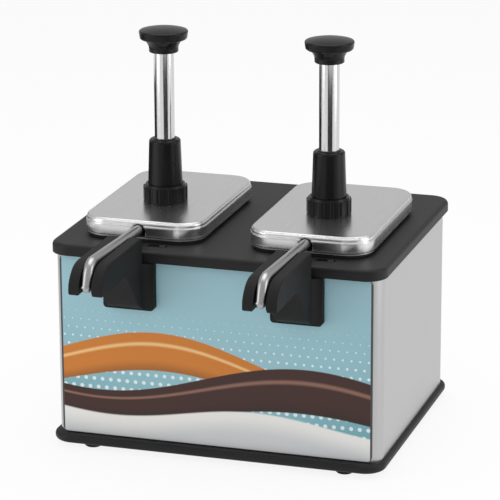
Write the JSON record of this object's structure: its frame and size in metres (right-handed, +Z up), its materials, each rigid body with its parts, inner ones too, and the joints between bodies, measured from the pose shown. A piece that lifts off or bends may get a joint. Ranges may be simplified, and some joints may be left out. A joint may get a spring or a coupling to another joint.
{
  "type": "hot fudge topping warmer",
  "caption": "Twin countertop topping warmer with lift-out covered jars, spring-return push-down pumps and heated spout cradles.",
  "frame": {"origin": "on the counter under the middle of the whole unit, spouts included", "axes": "+Z up, -Y towards the spouts (front), +X to the right as seen from the front"},
  "size_m": [0.324, 0.3806, 0.3872],
  "materials": {
    "black_plastic": "fine matte texture",
    "gloss_black": "semi-gloss",
    "rubber": "matte",
    "satin_steel": "satin",
    "polished_steel": "polished",
    "lid_steel": "fine satin",
    "jar_steel": "satin",
    "panel_print": "satin print on an aluminium panel",
    "aluminium": "mill finish",
    "silicone": "matte",
    "insulation": "fibrous",
    "white_plastic": "matte",
    "lead_sleeve": "matte"
  },
  "bodies": {
    "warmer": {"base_tray": "black_plastic", "rubber_feet": "rubber", "foot_screws": "satin_steel", "shroud": "satin_steel", "front_panel": "panel_print", "rear_panel": "satin_steel", "rear_panel_screws": "satin_steel", "top_cover": "black_plastic", "cover_screws": "satin_steel", "cradle_screws": "satin_steel", "switch_bezel": "gloss_black", "cord_bushing": "gloss_black", "terminal_block": "white_plastic", "wiring": "lead_sleeve", "well_left": "aluminium", "well_right": "aluminium", "well_gasket_left": "rubber", "well_gasket_right": "rubber", "well_heater_left": "silicone", "well_heater_right": "silicone", "insulation_left": "insulation", "insulation_right": "insulation", "thermostat_left": "aluminium", "thermostat_right": "aluminium", "spout_cradle_left": "black_plastic", "spout_cradle_right": "black_plastic", "spout_heater_left": "polished_steel", "spout_heater_right": "polished_steel"},
    "rocker": {"power_rocker": "gloss_black"},
    "jar_body_left": {"jar_left": "jar_steel"},
    "lid_body_left": {"lid_left": "lid_steel", "pump_barrel_left": "jar_steel", "pump_valve_left": "jar_steel", "inlet_ball_left": "polished_steel", "tube_gland_left": "jar_steel", "discharge_tube_left": "polished_steel", "plunger_guide_left": "gloss_black"},
    "plunger_body_left": {"plunger_rod_left": "polished_steel", "plunger_knob_left": "gloss_black", "piston_left": "white_plastic", "piston_seal_left": "rubber", "return_spring_left": "satin_steel"},
    "collar_body_left": {"lock_collar_left": "gloss_black"},
    "jar_body_right": {"jar_right": "jar_steel"},
    "lid_body_right": {"lid_right": "lid_steel", "pump_barrel_right": "jar_steel", "pump_valve_right": "jar_steel", "inlet_ball_right": "polished_steel", "tube_gland_right": "jar_steel", "discharge_tube_right": "polished_steel", "plunger_guide_right": "gloss_black"},
    "plunger_body_right": {"plunger_rod_right": "polished_steel", "plunger_knob_right": "gloss_black", "piston_right": "white_plastic", "piston_seal_right": "rubber", "return_spring_right": "satin_steel"},
    "collar_body_right": {"lock_collar_right": "gloss_black"}
  },
  "joints": [
    {"name": "power_rocker_hinge", "type": "hinge", "parent": "warmer", "child": "rocker", "pos_m": [0.104, 0.178, 0.0588], "axis": [1, 0, 0], "range_deg": [-14, 0]},
    {"name": "jar_lift_left", "type": "slide", "parent": "warmer", "child": "jar_body_left", "axis": [0, 0, 1], "range_m": [0, 0.17]},
    {"name": "lid_lift_left", "type": "slide", "parent": "jar_body_left", "child": "lid_body_left", "axis": [0, 0, 1], "range_m": [0, 0.17]},
    {"name": "plunger_stroke_left", "type": "slide", "parent": "lid_body_left", "child": "plunger_body_left", "axis": [0, 0, 1], "range_m": [-0.07, 0], "stiffness_N_per_m": 120, "springref_m": 0.05, "deforming": ["return_spring_left"]},
    {"name": "collar_turn_left", "type": "hinge", "parent": "lid_body_left", "child": "collar_body_left", "pos_m": [-0.0808, 0.031, 0.2278], "axis": [0, 0, 1], "range_deg": [0, 90]},
    {"name": "jar_lift_right", "type": "slide", "parent": "warmer", "child": "jar_body_right", "axis": [0, 0, 1], "range_m": [0, 0.17]},
    {"name": "lid_lift_right", "type": "slide", "parent": "jar_body_right", "child": "lid_body_right", "axis": [0, 0, 1], "range_m": [0, 0.17]},
    {"name": "plunger_stroke_right", "type": "slide", "parent": "lid_body_right", "child": "plunger_body_right", "axis": [0, 0, 1], "range_m": [-0.07, 0], "stiffness_N_per_m": 120, "springref_m": 0.05, "deforming": ["return_spring_right"]},
    {"name": "collar_turn_right", "type": "hinge", "parent": "lid_body_right", "child": "collar_body_right", "pos_m": [0.0808, 0.031, 0.2278], "axis": [0, 0, 1], "range_deg": [0, 90]}
  ]
}
